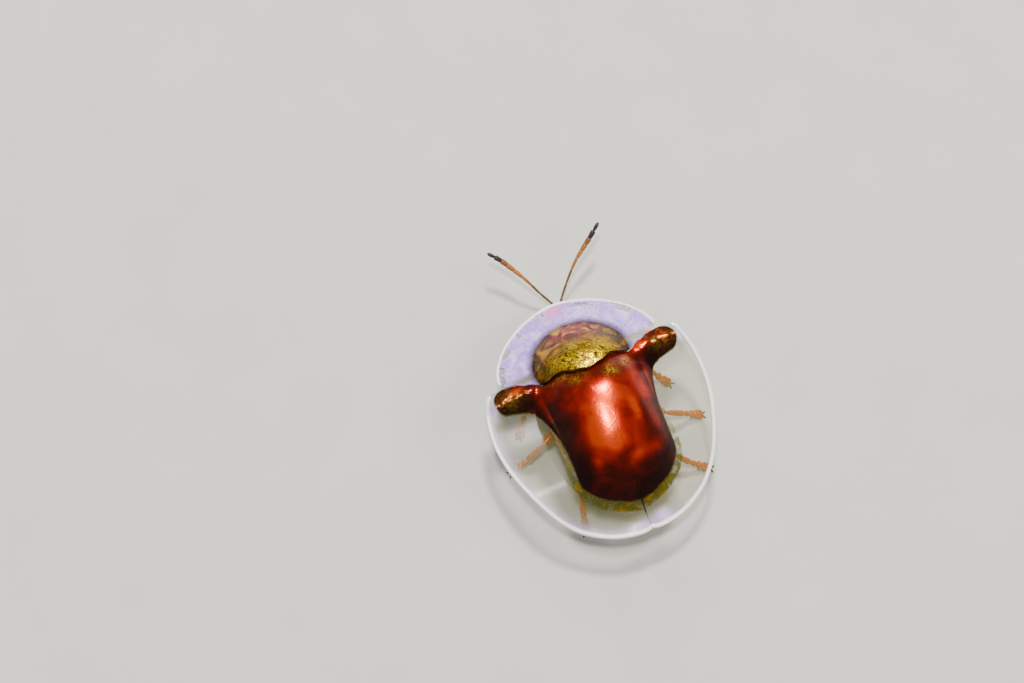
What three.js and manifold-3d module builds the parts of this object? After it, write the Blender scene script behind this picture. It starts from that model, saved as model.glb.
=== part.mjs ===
// A golden tortoise beetle, standing, at life size in millimetres.
// +Z is up, the floor is Z = 0, the head points to -Y and the beetle's left side is +X.
// Shapes are laid out in beetle terms: side (to its left), forward (to its head) and height.
import * as THREE from "three";
import { mergeVertices } from "three/addons/utils/BufferGeometryUtils.js";
import Module from "manifold-3d";

const wasm = await Module();
wasm.setup();

// Driving dimensions of the whole animal
const SHIELD_HALF_WIDTH = 3.7;
const REAR_END = -3.09;
const GAP = 0.12; // clearance between neighbouring pieces
const PLATE = 0.5; // thickness of the shell plates
const PLATE_RIM = 0.38; // and at their free edge
const WELD = 1e-4;

// Wing cases: height of the free edge, and the raised disc in the middle
const EDGE_HEIGHT = 1.7;
const SHOULDER_RISE = 0.28; // the edge climbs towards the shoulders
const TAIL_DROP = 0.35; // and falls towards the tail
const MARGIN_CROWN = 0.3; // how far the clear margin rises from edge to middle
const RIM_UPTURN = 0.06;
const WIDEST_AT = 0.4; // forward place of the widest point
const DISC = { halfWidth: 2.15, centre: 0.9, front: 2.3, rear: 3.4, rise: 1.41, square: 2.6 };
const ARM = { forward: 2.45, spread: 0.36, rise: 0.28, from: 1.3, to: 3.3 };

// Collar shield over the head, and the little plate behind it
const COLLAR_HALF_WIDTH = 2.78;
const COLLAR = { height: 1.95, from: 3.2, pitch: 25, crown: 0.15, front: 2.07, wideAt: 3.2, square: 1.7 };
const COLLAR_DISC = { halfWidth: 1.66, centre: 2.85, length: 1.5, rise: 0.76 };
const COLLAR_CORNER = 30; // power that rounds the rear corners
const SCUTELLUM = { halfWidth: 0.27, base: 2.25, tip: 1.8, height: 3.0 };

// Trunk under the shields
const BELLY = 1.0;
const BELLY_FLAT = 1.25; // half-width of the flat underside that carries the legs
const BELLY_LIFT = 0.35; // how far the belly rises at its sides
const TRUNK_HALF_WIDTH = 1.75;
const TRUNK_THINNEST = 0.3;
const NECK_FACE = 4.2;
const WAIST = 0.95; // where the thorax meets the abdomen
const ABDOMEN_END = -2.1;

// Head, a little to the beetle's right, and its eyes
const HEAD = { side: -0.3, forward: 4.5, height: 0.54, halfWidth: 0.66, halfLength: 0.56, halfHeight: 0.42 };
const HEAD_FRONT_FACE = 4.95;
const EYE = { apart: 0.54, forward: 4.6, height: 0.5, radius: 0.2, gap: 0.06 };
const LIP = { forward: 4.7, height: 0.3, halfWidth: 0.3, halfLength: 0.22, halfHeight: 0.2 };
const JAW = { root: [0.2, 4.75, 0.32], tip: [0.05, 4.8, 0.06], radius: 0.12 };
const PALP = { root: [0.34, 4.55, 0.34], tip: [0.3, 4.72, 0.08], radius: 0.08 };

// Feelers: eleven joints along a curve, the last five forming the club
const FEELER_RADIUS = 0.21;
const CLUB_RADIUS = 0.25;
const FEELER_JOINTS = [0.16, 0.07, 0.09, 0.1, 0.1, 0.09, 0.075, 0.075, 0.075, 0.075, 0.09];
const CLUB_FROM = 6;

// Legs
const COXA = { radius: 0.33, low: 0.3 };
const FEMUR_RADIUS = 0.28;
const TIBIA_RADIUS = 0.25;
const FOOT_RADIUS = 0.25;
const CLAW = { length: 0.34, radius: 0.09, spread: 0.36 };

const at = (side, forward, height) => new THREE.Vector3(side, -forward, height);

function smooth(from, to, value) {
  const t = Math.min(Math.max((value - from) / (to - from), 0), 1);
  return t * t * (3 - 2 * t);
}

// Line where the wing cases meet the collar shield, forward place for a side place
const BASE_LINE = [
  [0, 2.25],
  [0.45, 2.36],
  [0.9, 2.55],
  [1.47, 2.48],
  [2.0, 2.72],
  [2.4, 2.9],
  [3.05, 2.95],
  [3.32, 2.9],
];

function baseLine(side) {
  const away = Math.abs(side);
  const next = Math.max(BASE_LINE.findIndex(([place]) => place >= away), 1);
  const [sideA, forwardA] = BASE_LINE[next - 1];
  const [sideB, forwardB] = BASE_LINE[next];
  return THREE.MathUtils.lerp(forwardA, forwardB, smooth(sideA, sideB, away));
}

// Outline of one wing case from shoulder to tail, after its base line
const FLANK = [
  [3.32, 2.9],
  [3.45, 2.7],
  [3.62, 2.15],
  [SHIELD_HALF_WIDTH, 1.5],
  [3.68, 0.9],
  [3.57, 0.25],
  [3.36, -0.42],
  [3.08, -1.12],
  [2.72, -1.76],
  [2.28, -2.27],
  [1.8, -2.62],
  [1.25, -2.9],
  [0.7, -3.05],
  [0.28, REAR_END],
  [GAP / 2, -3.06],
];

const edgeHeight = (forward) =>
  EDGE_HEIGHT + SHOULDER_RISE * smooth(0.5, 3.3, forward) - TAIL_DROP * smooth(-0.5, -2.7, forward);

function wingCaseTop(side, forward) {
  const away = Math.abs(side);
  const rearReach = WIDEST_AT - REAR_END;
  const behind = Math.max(WIDEST_AT - forward, 0) / rearReach;
  const outward = Math.min(Math.hypot(away / SHIELD_HALF_WIDTH, behind), 1);
  const margin = edgeHeight(forward) + MARGIN_CROWN * (1 - outward ** 2);
  const rim = RIM_UPTURN * smooth(0.93, 1, outward);
  const along = (forward - DISC.centre) / (forward > DISC.centre ? DISC.front : DISC.rear);
  const ring = (away / DISC.halfWidth) ** DISC.square + Math.abs(along) ** DISC.square;
  const reach = Math.min(ring ** (1 / DISC.square), 1);
  const disc = DISC.rise * (1 - reach ** 2.2) ** 1.3;
  const crossArm = Math.exp(-(((forward - ARM.forward) / ARM.spread) ** 2));
  const alongArm = smooth(ARM.from, ARM.from + 0.7, away) * (1 - smooth(ARM.to - 0.1, ARM.to + 0.25, away));
  return margin + rim + disc + ARM.rise * crossArm * alongArm;
}

function collarTop(side, forward) {
  const outward = Math.min(Math.abs(side) / COLLAR_HALF_WIDTH, 1);
  const fall = Math.tan(THREE.MathUtils.degToRad(COLLAR.pitch)) * (forward - COLLAR.from);
  const away = Math.abs(side) / COLLAR_DISC.halfWidth;
  const along = (forward - COLLAR_DISC.centre) / COLLAR_DISC.length;
  const reach = Math.min(Math.hypot(away, along), 1);
  const disc = COLLAR_DISC.rise * (1 - reach ** 2.2) ** 1.3;
  return COLLAR.height - fall + COLLAR.crown * (1 - outward ** 2) + disc;
}

// Front edge of the collar shield, a flattened half round
function collarFront(side) {
  const across = Math.min(Math.abs(side) / COLLAR_HALF_WIDTH, 1);
  return COLLAR.wideAt + COLLAR.front * (1 - across ** COLLAR.square) ** (1 / COLLAR.square);
}

function collarBack(side) {
  const across = Math.min(Math.abs(side) / COLLAR_HALF_WIDTH, 1);
  const straight = baseLine(side) + GAP;
  return THREE.MathUtils.lerp(straight, COLLAR.wideAt, across ** COLLAR_CORNER);
}

// Underside of a plate: the plate keeps its thickness on a slope
function underside(top, side, forward, thickness) {
  const step = 0.02;
  const slopeAcross = (top(side + step, forward) - top(side - step, forward)) / (2 * step);
  const slopeAlong = (top(side, forward + step) - top(side, forward - step)) / (2 * step);
  const tallest = 1.6; // times the thickness, on the steepest slopes
  return top(side, forward) - thickness * Math.min(Math.hypot(1, slopeAcross, slopeAlong), tallest);
}

const wingCaseCeiling = (side, forward) => underside(wingCaseTop, side, forward, PLATE) - GAP;
const collarCeiling = (side, forward) => underside(collarTop, side, forward, PLATE) - GAP;

// Merges equal corners, drops the triangles that collapse and turns the faces outward
function weld(geometry) {
  const bare = geometry.clone();
  for (const name of Object.keys(bare.attributes)) {
    if (name !== "position") bare.deleteAttribute(name);
  }
  const welded = mergeVertices(bare, WELD);
  const index = welded.index.array;
  const corners = [0, 1, 2].map(() => new THREE.Vector3());
  const kept = [];
  let volume = 0;
  for (let i = 0; i < index.length; i += 3) {
    const triangle = [index[i], index[i + 1], index[i + 2]];
    if (new Set(triangle).size < 3) continue;
    kept.push(...triangle);
    corners.forEach((corner, k) => corner.fromBufferAttribute(welded.attributes.position, triangle[k]));
    volume += corners[0].dot(corners[1].cross(corners[2]));
  }
  if (volume < 0) kept.reverse();
  return welded.setIndex(kept);
}

// A closed plate over a grid: surface(u, v, face) places its top (1) and its underside (0),
// and both are split into triangles alike.
function plateGeometry(columns, rows, surface) {
  const sheet = new THREE.PlaneGeometry(1, 1, columns, rows);
  const grid = sheet.getAttribute("position");
  const positions = [];
  for (const face of [1, 0]) {
    for (let i = 0; i < grid.count; i++) {
      positions.push(...surface(grid.getX(i) + 0.5, grid.getY(i) + 0.5, face).toArray());
    }
  }
  const triangles = [];
  for (let i = 0; i < sheet.index.count; i += 3) {
    const [a, b, c] = [0, 1, 2].map((k) => sheet.index.array[i + k]);
    triangles.push(a, b, c, a + grid.count, c + grid.count, b + grid.count);
  }
  const corner = (column, row) => column + row * (columns + 1);
  const rim = [];
  for (let i = 0; i < columns; i++) rim.push(corner(i, rows));
  for (let i = rows; i > 0; i--) rim.push(corner(columns, i));
  for (let i = columns; i > 0; i--) rim.push(corner(i, 0));
  for (let i = 0; i < rows; i++) rim.push(corner(0, i));
  rim.forEach((a, i) => {
    const b = rim[(i + 1) % rim.length];
    triangles.push(a, a + grid.count, b + grid.count, a, b + grid.count, b);
  });
  const plate = new THREE.BufferGeometry();
  plate.setAttribute("position", new THREE.Float32BufferAttribute(positions, 3));
  return weld(plate.setIndex(triangles));
}

function solidOf(geometry) {
  const welded = weld(geometry);
  return new wasm.Manifold(
    new wasm.Mesh({
      numProp: 3,
      vertProperties: new Float32Array(welded.attributes.position.array),
      triVerts: new Uint32Array(welded.index.array),
    }),
  );
}

// The largest closed surface of a solid, as a geometry
function geometryOf(solid) {
  const largest = solid.decompose().sort((a, b) => b.volume() - a.volume())[0];
  const mesh = largest.getMesh();
  const geometry = new THREE.BufferGeometry();
  geometry.setAttribute("position", new THREE.BufferAttribute(mesh.vertProperties, 3));
  return geometry.setIndex(new THREE.BufferAttribute(mesh.triVerts, 1));
}

const joined = (solids) => solids.reduce((whole, solid) => whole.add(solid));

// A barrel-shaped joint of a limb between two points, as a solid
function pod(start, end, radius, waist = 0.7, sides = 8, steps = 4) {
  const length = start.distanceTo(end);
  const profile = [new THREE.Vector2(0, 0)];
  for (let i = 0; i <= steps; i++) {
    const t = i / steps;
    const bulge = waist + (1 - waist) * Math.sin(Math.PI * t);
    profile.push(new THREE.Vector2(radius * bulge, length * t));
  }
  profile.push(new THREE.Vector2(0, length));
  const geometry = new THREE.LatheGeometry(profile, sides);
  const up = new THREE.Vector3(0, 1, 0);
  const turn = new THREE.Quaternion().setFromUnitVectors(up, end.clone().sub(start).normalize());
  return solidOf(geometry.applyQuaternion(turn).translate(...start.toArray()));
}

function ball(centre, halfWidth, halfLength, halfHeight, across = 18, down = 12) {
  const geometry = new THREE.SphereGeometry(1, across, down);
  geometry.rotateX(Math.PI / 2);
  geometry.scale(halfWidth, halfLength, halfHeight);
  return solidOf(geometry.translate(...centre.toArray()));
}

function block(centre, width, length, height) {
  const geometry = new THREE.BoxGeometry(width, length, height);
  return solidOf(geometry.translate(...centre.toArray()));
}

// One wing case: rings from a centre on the seam out to its outline
function wingCaseGeometry(sign) {
  const seam = GAP / 2;
  const notch = new THREE.Vector2(seam, SCUTELLUM.tip - 0.13);
  const notchTop = new THREE.Vector2(0.44, 2.31);
  const base = [notchTop, ...BASE_LINE.slice(2, -1).map((p) => new THREE.Vector2(...p))];
  const outline = new THREE.CurvePath();
  outline.add(new THREE.LineCurve(notch, notchTop));
  outline.add(new THREE.SplineCurve([...base, ...FLANK.map((p) => new THREE.Vector2(...p))]));
  const centre = new THREE.Vector2(seam, 0.6);
  return plateGeometry(12, 34, (u, v, face) => {
    const place = outline.getPointAt(v).sub(centre).multiplyScalar(u).add(centre);
    const thickness = THREE.MathUtils.lerp(PLATE, PLATE_RIM, smooth(0.8, 1, u));
    const top = wingCaseTop(place.x, place.y);
    const low = underside(wingCaseTop, place.x, place.y, thickness);
    return at(sign * place.x, place.y, face ? top : low);
  });
}

function collarGeometry() {
  return plateGeometry(26, 12, (u, v, face) => {
    const side = COLLAR_HALF_WIDTH * Math.sin((u - 0.5) * Math.PI);
    const forward = THREE.MathUtils.lerp(collarBack(side), collarFront(side), v);
    const nearEdge = Math.max(smooth(0.75, 1, v), smooth(0.8, 1, Math.abs(side) / COLLAR_HALF_WIDTH));
    const thickness = THREE.MathUtils.lerp(PLATE, PLATE_RIM, nearEdge);
    const low = underside(collarTop, side, forward, thickness);
    return at(side, forward, face ? collarTop(side, forward) : low);
  });
}

function scutellumGeometry() {
  const outline = new THREE.Shape();
  outline.moveTo(-SCUTELLUM.halfWidth, -SCUTELLUM.base);
  outline.lineTo(SCUTELLUM.halfWidth, -SCUTELLUM.base);
  outline.lineTo(0, -SCUTELLUM.tip);
  outline.closePath();
  const geometry = new THREE.ExtrudeGeometry(outline, { depth: PLATE, bevelEnabled: false });
  return weld(geometry.translate(0, 0, -PLATE));
}

// A block of the trunk between two forward lines, under a ceiling and over the belly
function trunkGeometry(columns, rows, halfWidth, back, front, ceiling) {
  return plateGeometry(columns, rows, (u, v, face) => {
    const side = halfWidth(v) * (2 * u - 1);
    const forward = THREE.MathUtils.lerp(back(side), front(side), v);
    const roof = ceiling(side, forward);
    const belly = BELLY + BELLY_LIFT * smooth(BELLY_FLAT, TRUNK_HALF_WIDTH, Math.abs(side));
    return at(side, forward, face ? roof : Math.min(belly, roof - TRUNK_THINNEST));
  });
}

// Prothorax: narrows towards the flat face that the head joins
const prothoraxGeometry = () =>
  trunkGeometry(
    14,
    8,
    (along) => THREE.MathUtils.lerp(1.5, 0.72, smooth(0.2, 1, along)),
    (side) => baseLine(side) + GAP,
    () => NECK_FACE,
    collarCeiling,
  );

const thoraxGeometry = () =>
  trunkGeometry(
    14,
    7,
    () => TRUNK_HALF_WIDTH,
    () => WAIST + GAP / 2,
    (side) => baseLine(side),
    wingCaseCeiling,
  );

const abdomenGeometry = () =>
  trunkGeometry(
    14,
    12,
    (along) => TRUNK_HALF_WIDTH * Math.sqrt(Math.max(1 - (0.97 * (1 - along)) ** 2.6, 0)),
    () => ABDOMEN_END,
    () => WAIST - GAP / 2,
    wingCaseCeiling,
  );

const eyeCentre = (sign) => at(HEAD.side + sign * EYE.apart, EYE.forward, EYE.height);

// Head capsule with brow, upper lip, jaws and palps; flat behind and in front, hollowed for the eyes
function headGeometry() {
  const place = (side, forward, height) => at(HEAD.side + side, forward, height);
  const { halfWidth, halfLength, halfHeight } = HEAD;
  const lumps = [ball(place(0, HEAD.forward, HEAD.height), halfWidth, halfLength, halfHeight)];
  lumps.push(ball(place(0, LIP.forward, LIP.height), LIP.halfWidth, LIP.halfLength, LIP.halfHeight, 12, 8));
  for (const sign of [-1, 1]) {
    for (const { root, tip, radius } of [JAW, PALP]) {
      const [start, end] = [root, tip].map(([side, ...rest]) => place(sign * side, ...rest));
      lumps.push(pod(start, end, radius, 0.55, 7));
    }
  }
  // Cutters: what lies over the collar's ceiling, the eye sockets, and blocks behind and before
  const reach = 2 * halfLength; // every cutter goes well past the head
  const overhead = plateGeometry(8, 8, (u, v, face) => {
    const side = HEAD.side + reach * (2 * u - 1);
    const forward = HEAD.forward + reach * (2 * v - 1);
    return at(side, forward, collarCeiling(side, forward) + (face ? 2 * reach : 0));
  });
  const sockets = [-1, 1].map((sign) => {
    const size = EYE.radius + EYE.gap;
    return ball(eyeCentre(sign), size, size, size, 14, 10);
  });
  const slab = (forward) => block(place(0, forward, HEAD.height), 3 * reach, 2 * reach, 3 * reach);
  const behind = slab(NECK_FACE + GAP - reach);
  const before = slab(HEAD_FRONT_FACE + reach);
  const cuts = joined([solidOf(overhead), behind, before, ...sockets]);
  return geometryOf(joined(lumps).subtract(cuts));
}

// A feeler: joints of named length shares strung on a smooth curve
function feelerGeometry(points) {
  const curve = new THREE.CatmullRomCurve3(points);
  const total = FEELER_JOINTS.reduce((sum, share) => sum + share);
  const joints = [];
  let reached = 0;
  FEELER_JOINTS.forEach((share, i) => {
    const start = curve.getPointAt(reached / total);
    reached += share;
    const end = curve.getPointAt(Math.min((reached + 0.02) / total, 1));
    const last = i === FEELER_JOINTS.length - 1;
    const radius = i < CLUB_FROM ? FEELER_RADIUS : CLUB_RADIUS;
    joints.push(pod(start, end, last ? radius * 0.9 : radius, last ? 0.45 : 0.78, 7, 3));
  });
  return geometryOf(joined(joints));
}

// A leg: hip block under the belly, thigh, shin, foot and two claws, with the sole flat on the floor
function legGeometry(hip, knee, ankle, toe) {
  const hipTop = BELLY - GAP;
  const hipHeight = hipTop - COXA.low;
  const coxa = new THREE.CylinderGeometry(COXA.radius, COXA.radius * 0.85, hipHeight, 10);
  coxa.rotateX(Math.PI / 2);
  coxa.translate(hip.x, hip.y, COXA.low + hipHeight / 2);
  const reach = toe.clone().sub(ankle).setZ(0).normalize();
  const across = new THREE.Vector3(-reach.y, reach.x, 0);
  const pieces = [
    solidOf(coxa),
    pod(hip, knee, FEMUR_RADIUS, 0.72),
    pod(knee, ankle, TIBIA_RADIUS, 0.9),
    pod(ankle, toe, FOOT_RADIUS, 0.85),
    ball(knee, TIBIA_RADIUS, TIBIA_RADIUS, TIBIA_RADIUS, 9, 6),
    ball(ankle, TIBIA_RADIUS * 0.95, TIBIA_RADIUS * 0.95, TIBIA_RADIUS * 0.95, 9, 6),
  ];
  for (const sign of [-1, 1]) {
    const root = toe.clone().addScaledVector(reach, -0.12).addScaledVector(across, sign * 0.08);
    const tip = toe.clone().addScaledVector(reach, CLAW.length * 0.8);
    tip.addScaledVector(across, sign * CLAW.spread * 0.5).setZ(0.07);
    pieces.push(pod(root, tip, CLAW.radius, 0.5, 6));
  }
  const floor = block(new THREE.Vector3(0, 0, -1), 30, 30, 2);
  return geometryOf(joined(pieces).subtract(floor));
}

// Colours of the animal's own surfaces
const finish = (name, color, roughness, metalness = 0) =>
  new THREE.MeshStandardMaterial({ name, color, roughness, metalness });
const shellFinish = () => finish("wing case cuticle", 0x8a2a0c, 0.2, 0.2);
const collarFinish = () => finish("collar shield cuticle", 0xb8952a, 0.22, 0.3);
const bodyFinish = () => finish("body cuticle", 0x9a5a1a, 0.45);
const legFinish = () => finish("leg cuticle", 0xb8702a, 0.4);
const eyeFinish = () => finish("eye facets", 0x17100c, 0.25);
const feelerFinish = () => finish("feeler cuticle", 0xa87828, 0.5);

const beetle = new THREE.Group();

// Adds a piece whose geometry is laid out in beetle terms, hung from its own root point
function add(parent, name, geometry, material, root = new THREE.Vector3()) {
  const mesh = new THREE.Mesh(geometry.translate(-root.x, -root.y, -root.z), material);
  mesh.name = name;
  mesh.position.copy(root);
  parent.add(mesh);
  return mesh;
}

// Shell plates
const shell = new THREE.Group();
beetle.add(shell);
for (const [name, sign] of [
  ["elytron_left", 1],
  ["elytron_right", -1],
]) {
  add(shell, name, wingCaseGeometry(sign), shellFinish(), at(0, WIDEST_AT, EDGE_HEIGHT));
}
add(shell, "pronotum", collarGeometry(), collarFinish(), at(0, COLLAR.from, COLLAR.height));
add(shell, "scutellum", scutellumGeometry(), shellFinish()).position.z = SCUTELLUM.height;

// Trunk
const trunk = new THREE.Group();
beetle.add(trunk);
add(trunk, "prothorax", prothoraxGeometry(), bodyFinish(), at(0, NECK_FACE, BELLY));
add(trunk, "thorax", thoraxGeometry(), bodyFinish(), at(0, WAIST, BELLY));
add(trunk, "abdomen", abdomenGeometry(), bodyFinish(), at(0, WAIST, BELLY));

// Head group: capsule, eyes and feelers
const headGroup = new THREE.Group();
headGroup.position.copy(at(HEAD.side, HEAD.forward, HEAD.height));
beetle.add(headGroup);
const fromHead = (name, geometry, material) => {
  geometry.translate(...headGroup.position.clone().negate().toArray());
  add(headGroup, name, geometry, material);
};
fromHead("head", headGeometry(), bodyFinish());
for (const [name, sign] of [
  ["eye_left", 1],
  ["eye_right", -1],
]) {
  fromHead(name, geometryOf(ball(eyeCentre(sign), EYE.radius, EYE.radius, EYE.radius, 14, 10)), eyeFinish());
}
const feelerRoot = HEAD_FRONT_FACE + GAP;
const FEELER_PATHS = {
  antenna_left: [
    at(-0.04, feelerRoot, 0.37),
    at(-0.05, 5.45, 0.38),
    at(0.12, 5.95, 0.62),
    at(0.37, 6.43, 0.95),
    at(0.93, 7.33, 1.2),
    at(1.25, 7.69, 1.3),
  ],
  antenna_right: [
    at(-0.58, feelerRoot, 0.37),
    at(-0.61, 5.45, 0.38),
    at(-0.95, 5.93, 0.65),
    at(-1.37, 6.37, 1.0),
    at(-2.13, 6.89, 1.3),
    at(-2.56, 7.2, 1.5),
  ],
};
for (const [name, points] of Object.entries(FEELER_PATHS)) {
  fromHead(name, feelerGeometry(points), feelerFinish());
}

// Legs: hip, knee, ankle and toe of each, in the walking stance
const HIP = 0.52;
const TOE = 0.1;
const LEG_PATHS = {
  leg_front_left: [at(0.5, 3.3, HIP), at(1.6, 2.85, 0.78), at(2.2, 2.3, 0.5), at(2.55, 1.75, TOE)],
  leg_front_right: [at(-0.5, 3.3, HIP), at(-1.6, 2.75, 0.78), at(-2.25, 2.1, 0.5), at(-2.7, 1.55, TOE)],
  leg_middle_left: [at(0.85, 1.7, HIP), at(2.15, 1.0, 0.78), at(2.7, 0.85, 0.5), at(3.2, 0.76, TOE)],
  leg_middle_right: [at(-0.85, 1.5, HIP), at(-2.1, 0.45, 0.78), at(-2.65, 0.32, 0.5), at(-3.15, 0.15, TOE)],
  leg_hind_left: [at(0.85, 0.3, HIP), at(1.6, -0.95, 0.74), at(1.75, -1.5, 0.5), at(1.87, -1.95, TOE)],
  leg_hind_right: [at(-0.85, 0.3, HIP), at(-1.75, -0.95, 0.74), at(-2.2, -1.3, 0.5), at(-2.65, -1.58, TOE)],
};
const legs = new THREE.Group();
beetle.add(legs);
for (const [name, [hip, knee, ankle, toe]] of Object.entries(LEG_PATHS)) {
  add(legs, name, legGeometry(hip, knee, ankle, toe), legFinish(), hip);
}

// The origin is the middle of the whole beetle's footprint, on the floor
beetle.updateMatrixWorld(true);
const extent = new THREE.Box3().setFromObject(beetle, true);
const middle = extent.getCenter(new THREE.Vector3());
beetle.position.set(-middle.x, -middle.y, -extent.min.z);

export default beetle;
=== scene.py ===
"""A golden tortoise beetle, life size, standing: its shell, body, head, feelers and legs."""

import math

import bmesh
import bpy
from mathutils import Matrix, Vector, noise
from mathutils.kdtree import KDTree


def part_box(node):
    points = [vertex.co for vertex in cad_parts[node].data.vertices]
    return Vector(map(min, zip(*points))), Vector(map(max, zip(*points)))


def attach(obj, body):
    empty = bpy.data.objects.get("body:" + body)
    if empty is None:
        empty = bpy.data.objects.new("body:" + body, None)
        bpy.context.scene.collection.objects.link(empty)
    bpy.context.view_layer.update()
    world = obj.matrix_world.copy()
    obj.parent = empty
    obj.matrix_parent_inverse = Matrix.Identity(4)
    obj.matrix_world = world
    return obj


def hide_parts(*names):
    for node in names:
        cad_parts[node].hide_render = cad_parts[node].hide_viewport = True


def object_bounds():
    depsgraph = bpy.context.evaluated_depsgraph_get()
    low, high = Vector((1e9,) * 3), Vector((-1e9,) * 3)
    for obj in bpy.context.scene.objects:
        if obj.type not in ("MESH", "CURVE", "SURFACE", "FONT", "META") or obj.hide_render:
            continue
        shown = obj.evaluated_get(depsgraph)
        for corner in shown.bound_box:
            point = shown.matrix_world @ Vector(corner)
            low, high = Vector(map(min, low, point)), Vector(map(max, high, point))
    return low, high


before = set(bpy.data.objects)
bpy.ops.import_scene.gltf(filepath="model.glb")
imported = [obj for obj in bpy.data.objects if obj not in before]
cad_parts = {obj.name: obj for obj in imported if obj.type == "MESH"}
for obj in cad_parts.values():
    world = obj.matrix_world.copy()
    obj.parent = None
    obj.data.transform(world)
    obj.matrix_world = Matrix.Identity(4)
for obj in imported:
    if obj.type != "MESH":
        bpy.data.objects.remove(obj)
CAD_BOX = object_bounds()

bl_info = {
    "name": "Tortoise Beetle",
    "version": (1, 0, 0),
    "blender": (4, 5, 0),
    "location": "3D View > Sidebar > Beetle",
    "description": "Builds a golden tortoise beetle and a plain stage around its frame",
    "category": "Object",
}

MM = 0.001
REAR_END = -3.09

# Places are given in beetle terms, in millimetres: side (to its left), forward (to its head), height.
# The frame's Y runs from head to tail, and its zero lies under the middle of the whole beetle.
TAIL_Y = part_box("elytron_left")[1].y / MM + REAR_END


def at(side, forward, height):
    return Vector((side, TAIL_Y - forward, height))


def lerp(a, b, t):
    return a + (b - a) * t


def smooth(start, end, value):
    t = min(max((value - start) / (end - start), 0.0), 1.0)
    return t * t * (3 - 2 * t)


def linear(hex_colour):
    """The linear colour of an sRGB value such as 0x8A2A0C."""
    parts = [((hex_colour >> shift) & 255) / 255 for shift in (16, 8, 0)]
    return [p / 12.92 if p <= 0.04045 else ((p + 0.055) / 1.055) ** 2.4 for p in parts]


def opaque(hex_colour):
    """The same with a fourth number, as a colour socket needs it."""
    return (*linear(hex_colour), 1)


# Shell sizes, as the solids have them
SHIELD_HALF_WIDTH = 3.7
EDGE_HEIGHT = 1.7
SHOULDER_RISE = 0.28
TAIL_DROP = 0.35
MARGIN_CROWN = 0.3
WIDEST_AT = 0.4
DISC_FULLNESS, DISC_FOOT = 2.2, 1.3  # powers that shape a disc's dome and its foot
DISC_HALF_WIDTH, DISC_CENTRE, DISC_FRONT, DISC_REAR = 2.15, 0.9, 2.3, 3.4
DISC_RISE, DISC_SQUARE = 1.41, 2.6
ARM_FORWARD, ARM_SPREAD, ARM_RISE, ARM_FROM, ARM_TO = 2.45, 0.36, 0.28, 1.3, 3.3
COLLAR_HALF_WIDTH, COLLAR_HEIGHT, COLLAR_FROM, COLLAR_PITCH = 2.78, 1.95, 3.2, 25
COLLAR_CROWN, COLLAR_REACH, COLLAR_WIDE_AT, COLLAR_SQUARE = 0.15, 2.07, 3.2, 1.7
COLLAR_DISC_HALF_WIDTH, COLLAR_DISC_CENTRE, COLLAR_DISC_LENGTH, COLLAR_DISC_RISE = 1.66, 2.85, 1.5, 0.76
BASE_LINE = (
    (0, 2.25), (0.45, 2.36), (0.9, 2.55), (1.47, 2.48), (2.0, 2.72), (2.4, 2.9), (3.05, 2.95), (3.32, 2.9),
)
FLANK = (
    (3.32, 2.9), (3.45, 2.7), (3.62, 2.15), (3.7, 1.5), (3.68, 0.9), (3.57, 0.25), (3.36, -0.42),
    (3.08, -1.12), (2.72, -1.76), (2.28, -2.27), (1.8, -2.62), (1.25, -2.9), (0.7, -3.05), (0.28, REAR_END),
    (0.02, -3.05),
)
# The collar's rear edge: its gap to the wing cases, and how sharply it turns at the corners
BACK_GAP, BACK_CORNER = 0.05, 30


def base_line(side):
    """Forward place of the line where wing cases and collar shield meet."""
    away = min(abs(side), BASE_LINE[-1][0])
    for (side_a, forward_a), (side_b, forward_b) in zip(BASE_LINE, BASE_LINE[1:]):
        if away <= side_b:
            return lerp(forward_a, forward_b, smooth(side_a, side_b, away))
    return BASE_LINE[-1][1]


def wing_case_top(side, forward):
    """Height of the wing cases' upper surface."""
    away = abs(side)
    behind = max(WIDEST_AT - forward, 0) / (WIDEST_AT - REAR_END)
    outward = min(math.hypot(away / SHIELD_HALF_WIDTH, behind), 1)
    edge = EDGE_HEIGHT + SHOULDER_RISE * smooth(0.5, 3.3, forward) - TAIL_DROP * smooth(0.5, 2.7, -forward)
    along = (forward - DISC_CENTRE) / (DISC_FRONT if forward > DISC_CENTRE else DISC_REAR)
    disc = DISC_RISE * (1 - disc_reach(away, along) ** DISC_FULLNESS) ** DISC_FOOT
    across_arm = math.exp(-(((forward - ARM_FORWARD) / ARM_SPREAD) ** 2))
    along_arm = smooth(ARM_FROM, ARM_FROM + 0.7, away) * (1 - smooth(ARM_TO - 0.1, ARM_TO + 0.25, away))
    return edge + MARGIN_CROWN * (1 - outward**2) + disc + ARM_RISE * across_arm * along_arm


def disc_reach(away, along):
    """From 0 at the middle of the wing cases' disc to 1 at its foot and beyond."""
    ring = (away / DISC_HALF_WIDTH) ** DISC_SQUARE + abs(along) ** DISC_SQUARE
    return min(ring ** (1 / DISC_SQUARE), 1)


def collar_top(side, forward):
    """Height of the collar shield's upper surface."""
    outward = min(abs(side) / COLLAR_HALF_WIDTH, 1)
    fall = math.tan(math.radians(COLLAR_PITCH)) * (forward - COLLAR_FROM)
    disc = COLLAR_DISC_RISE * (1 - min(collar_reach(side, forward), 1) ** DISC_FULLNESS) ** DISC_FOOT
    return COLLAR_HEIGHT - fall + COLLAR_CROWN * (1 - outward**2) + disc


def collar_reach(side, forward):
    """From 0 at the middle of the collar's disc to 1 at its foot, and more beyond."""
    along = (forward - COLLAR_DISC_CENTRE) / COLLAR_DISC_LENGTH
    return math.hypot(side / COLLAR_DISC_HALF_WIDTH, along)


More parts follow.
